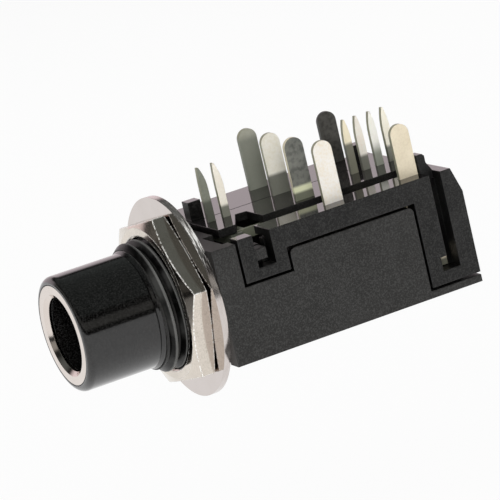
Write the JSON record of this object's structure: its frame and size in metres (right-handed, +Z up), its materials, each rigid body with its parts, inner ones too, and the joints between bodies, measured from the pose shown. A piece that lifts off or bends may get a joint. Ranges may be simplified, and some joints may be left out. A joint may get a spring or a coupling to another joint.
{
  "type": "audio jack socket",
  "caption": "Panel-mount audio jack socket with a smooth plastic nose, threaded bush, hexagon nut, washer and a box housing with switched contacts and upright solder terminals.",
  "frame": {"origin": "on the jack's axis, at the housing's front shoulder that meets the panel", "axes": "+X along the jack's axis from the nose to the rear, +Z up along the solder terminals, +Y across the housing"},
  "size_m": [0.0349, 0.0176, 0.0193],
  "materials": {
    "body_plastic": "moulded charcoal, glossy on the nose",
    "cover_plastic": "moulded charcoal, glossy on the deck",
    "nickel": "bright nickel plate",
    "tinned_bronze": "bright tin plate",
    "card_plastic": "natural moulding"
  },
  "bodies": {
    "housing": {"housing_body": "body_plastic", "terminal_cover": "cover_plastic", "nose_ferrule": "nickel", "sleeve_spring": "tinned_bronze", "ring_spring": "tinned_bronze", "tip_spring": "tinned_bronze", "sleeve_switch_leaf": "tinned_bronze", "ring_switch_leaf": "tinned_bronze", "tip_switch_leaf": "tinned_bronze", "sleeve_break_contact": "tinned_bronze", "sleeve_make_contact": "tinned_bronze", "ring_break_contact": "tinned_bronze", "ring_make_contact": "tinned_bronze", "tip_break_contact": "tinned_bronze", "tip_make_contact": "tinned_bronze"},
    "washer": {"flat_washer": "nickel"},
    "nut": {"hex_nut": "nickel"},
    "sleeve_card": {"sleeve_card": "card_plastic"},
    "ring_card": {"ring_card": "card_plastic"},
    "tip_card": {"tip_card": "card_plastic"}
  },
  "joints": [
    {"name": "washer_slide", "type": "slide", "parent": "housing", "child": "washer", "axis": [-1, 0, 0], "range_m": [0, 0.002]},
    {"name": "nut_turn", "type": "hinge", "parent": "washer", "child": "nut", "pos_m": [-0.00153, 0, 0], "axis": [-1, 0, 0], "range_deg": [0, 720]},
    {"name": "sleeve_card_slide", "type": "slide", "parent": "housing", "child": "sleeve_card", "axis": [0, -1, 0], "range_m": [0, 0.00045], "stiffness_N_per_m": 150, "deforming": ["sleeve_spring", "sleeve_switch_leaf"]},
    {"name": "ring_card_slide", "type": "slide", "parent": "housing", "child": "ring_card", "axis": [0, 1, 0], "range_m": [0, 0.00045], "stiffness_N_per_m": 150, "deforming": ["ring_spring", "ring_switch_leaf"]},
    {"name": "tip_card_slide", "type": "slide", "parent": "housing", "child": "tip_card", "axis": [0, -1, 0], "range_m": [0, 0.00045], "stiffness_N_per_m": 150, "deforming": ["tip_spring", "tip_switch_leaf"]}
  ],
  "couplings": [
    {"joint": "nut_turn", "follows": "washer_slide", "rad_per_m": 6283.2}
  ]
}
